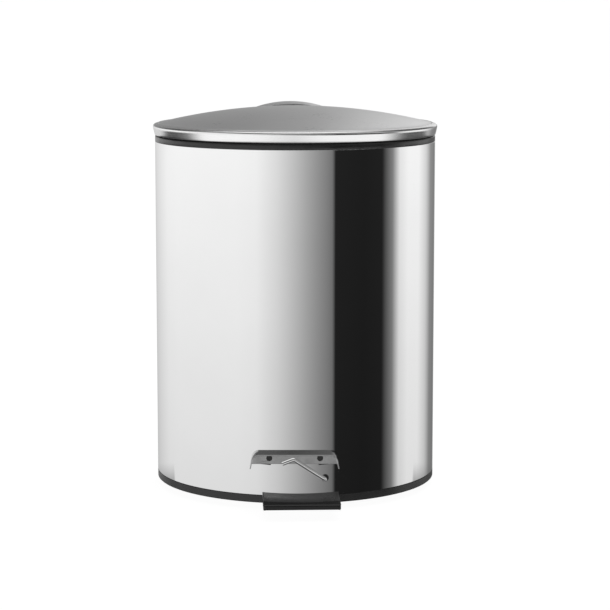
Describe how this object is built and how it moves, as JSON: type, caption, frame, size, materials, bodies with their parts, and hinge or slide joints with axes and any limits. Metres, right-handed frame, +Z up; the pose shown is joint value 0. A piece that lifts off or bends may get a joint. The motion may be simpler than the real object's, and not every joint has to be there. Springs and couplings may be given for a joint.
{
  "type": "pedal bin",
  "caption": "Round pedal bin with a polished steel shell, domed lid on a rear hinge, black base, rim and pedal, bent steel guard over a catch wire, and a lift-out bucket.",
  "frame": {"origin": "centre of the underside of the foot disc, on the floor and on the shell's axis", "axes": "+Z up along the shell's axis, -Y towards the pedal, +Y towards the lid hinge, +X to the right seen from the pedal side"},
  "size_m": [0.208, 0.2573, 0.2787],
  "materials": {
    "polished_steel": "mirror-polished stainless steel sheet",
    "satin_steel": "satin stainless steel",
    "bent_steel": "bright bent steel sheet",
    "wire_steel": "bright drawn steel wire",
    "zinc_steel": "zinc-plated steel",
    "black_moulding": "semi-gloss black moulding",
    "pedal_black": "satin black moulding",
    "bucket_black": "fine-textured black polypropylene",
    "black_rubber": "matt black rubber",
    "black_hardware": "black-coated rivet"
  },
  "bodies": {
    "bin_body": {"outer_shell": "polished_steel", "base": "black_moulding", "foot_disc": "black_rubber", "rim_ring": "black_moulding", "hinge_bracket": "black_moulding", "hinge_pin": "zinc_steel", "hinge_pin_caps": "zinc_steel", "rod_guide_upper": "black_moulding", "rod_guide_lower": "black_moulding", "bracket_screws": "zinc_steel", "guide_screws": "zinc_steel", "guard": "bent_steel", "guard_rivets": "black_hardware", "guard_spacers": "black_rubber", "pedal_axle": "zinc_steel", "axle_clips": "zinc_steel", "lever_bumper": "black_rubber"},
    "lid": {"lid_shell": "satin_steel", "lid_liner": "black_moulding", "lid_lever": "zinc_steel", "hinge_cap": "satin_steel", "lid_bumpers": "black_rubber"},
    "push_rod": {"push_rod": "zinc_steel", "rod_foot": "black_moulding", "rod_clip": "zinc_steel"},
    "pedal": {"pedal_lever": "zinc_steel", "pedal_pad": "pedal_black", "pad_rivets": "zinc_steel"},
    "catch": {"catch_wire": "wire_steel", "catch_clip": "zinc_steel"},
    "bucket": {"inner_bucket": "bucket_black"},
    "bail": {"bail_handle": "zinc_steel", "bail_grip": "pedal_black", "bail_heads": "zinc_steel"}
  },
  "joints": [
    {"name": "lid_hinge", "type": "hinge", "parent": "bin_body", "child": "lid", "pos_m": [0, 0.11, 0.261], "axis": [-1, 0, 0], "range_deg": [0, 75]},
    {"name": "rod_slide", "type": "slide", "parent": "bin_body", "child": "push_rod", "axis": [0, 0, 1], "range_m": [0, 0.0198]},
    {"name": "pedal_pivot", "type": "hinge", "parent": "bin_body", "child": "pedal", "pos_m": [0, -0.088, 0.0135], "axis": [1, 0, 0], "range_deg": [0, 6.15]},
    {"name": "catch_turn", "type": "hinge", "parent": "bin_body", "child": "catch", "pos_m": [0.01694, -0.10109, 0.0227], "axis": [0.1653, -0.9862, 0], "range_deg": [0, 33]},
    {"name": "bucket_lift", "type": "slide", "parent": "bin_body", "child": "bucket", "axis": [0, 0, 1], "range_m": [0, 0.004]},
    {"name": "bail_swing", "type": "hinge", "parent": "bucket", "child": "bail", "pos_m": [0, 0, 0.246], "axis": [-1, 0, 0], "range_deg": [0, 8]}
  ],
  "couplings": [
    {"joint": "rod_slide", "follows": "lid_hinge", "m_per_rad": 0.015126},
    {"joint": "pedal_pivot", "follows": "lid_hinge", "ratio": 0.081984}
  ]
}
